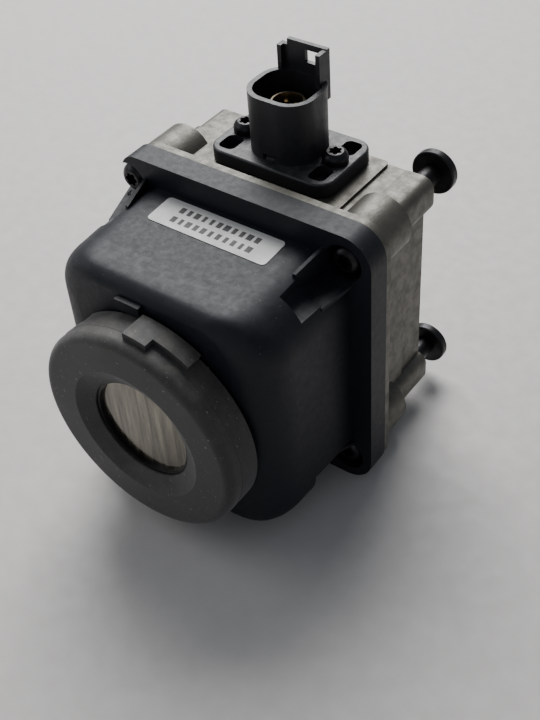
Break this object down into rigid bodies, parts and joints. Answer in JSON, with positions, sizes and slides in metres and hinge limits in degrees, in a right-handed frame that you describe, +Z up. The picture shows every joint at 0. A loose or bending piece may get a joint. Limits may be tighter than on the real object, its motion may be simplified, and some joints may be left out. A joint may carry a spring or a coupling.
{
  "type": "infrared camera module",
  "caption": "Sealed infrared camera module with a rubber lens hood, flat window, cast rear housing, latching roof socket, mounting studs and an internal swinging shutter.",
  "frame": {"origin": "bottom centre of the module's bounding box, under the cover's flange", "axes": "+Z up, the lens looks along -Y, the mounting studs point along +Y, +X is the module's left-hand side as it looks out"},
  "size_m": [0.06, 0.0684, 0.0778],
  "materials": {
    "cover_plastic": "fine moulded texture",
    "hood_rubber": "matt, slightly dusty",
    "window_glass": "polished infrared window, dark and mirror-like",
    "dark_trim": "smooth",
    "seal_rubber": "matt",
    "heater_film": "etched foil",
    "black_anodised": "black anodised",
    "lens_glass": "coated",
    "cast_aluminium": "as-cast, lightly blasted",
    "blued_steel": "dark zinc-nickel plated",
    "shutter_steel": "black coated spring steel",
    "actuator_can": "drawn can",
    "ceramic_package": "fired",
    "sensor_glass": "coated",
    "board_green": "solder mask",
    "chip_black": "moulded",
    "link_cream": "moulded",
    "brass_plain": "nickel-free, bright",
    "thermal_blue": "soft pad",
    "flex_amber": "polyimide film",
    "connector_black": "glass-filled, satin",
    "shield_nickel": "nickel plated",
    "contact_gold": "gold plated",
    "insulator_cream": "moulded",
    "label_silver": "satin film"
  },
  "bodies": {
    "module": {"front_cover": "cover_plastic", "lens_hood": "hood_rubber", "window": "window_glass", "window_retainer": "dark_trim", "window_seal": "seal_rubber", "window_heater": "heater_film", "lens_barrel": "black_anodised", "front_lens": "lens_glass", "lens_retaining_ring": "black_anodised", "rear_lens": "lens_glass", "rear_lens_ring": "black_anodised", "focus_lock_ring": "black_anodised", "lens_holder": "black_anodised", "shutter_plate": "shutter_steel", "shutter_actuator": "actuator_can", "sensor_package": "ceramic_package", "sensor_glass": "sensor_glass", "sensor_board": "board_green", "board_screws": "blued_steel", "board_standoffs": "brass_plain", "board_link": "link_cream", "processor_board": "board_green", "processor_chip": "chip_black", "thermal_pad": "thermal_blue", "flex_socket": "link_cream", "flex_cable": "flex_amber", "cover_gasket": "seal_rubber", "rear_housing": "cast_aluminium", "cover_screws": "blued_steel", "connector_seal": "seal_rubber", "connector_shell": "connector_black", "contact_shield": "shield_nickel", "contact_insulator": "insulator_cream", "contact_pins": "contact_gold", "connector_screws": "blued_steel", "label": "label_silver", "stud_upper_right": "blued_steel", "stud_lower_right": "blued_steel", "stud_lower_left": "blued_steel"},
    "shutter": {"shutter_flag": "shutter_steel", "shutter_shaft": "actuator_can"}
  },
  "joints": [
    {"name": "shutter_swing", "type": "hinge", "parent": "module", "child": "shutter", "pos_m": [0, 0.00095, 0.046], "axis": [0, 1, 0], "range_deg": [0, 50]}
  ]
}
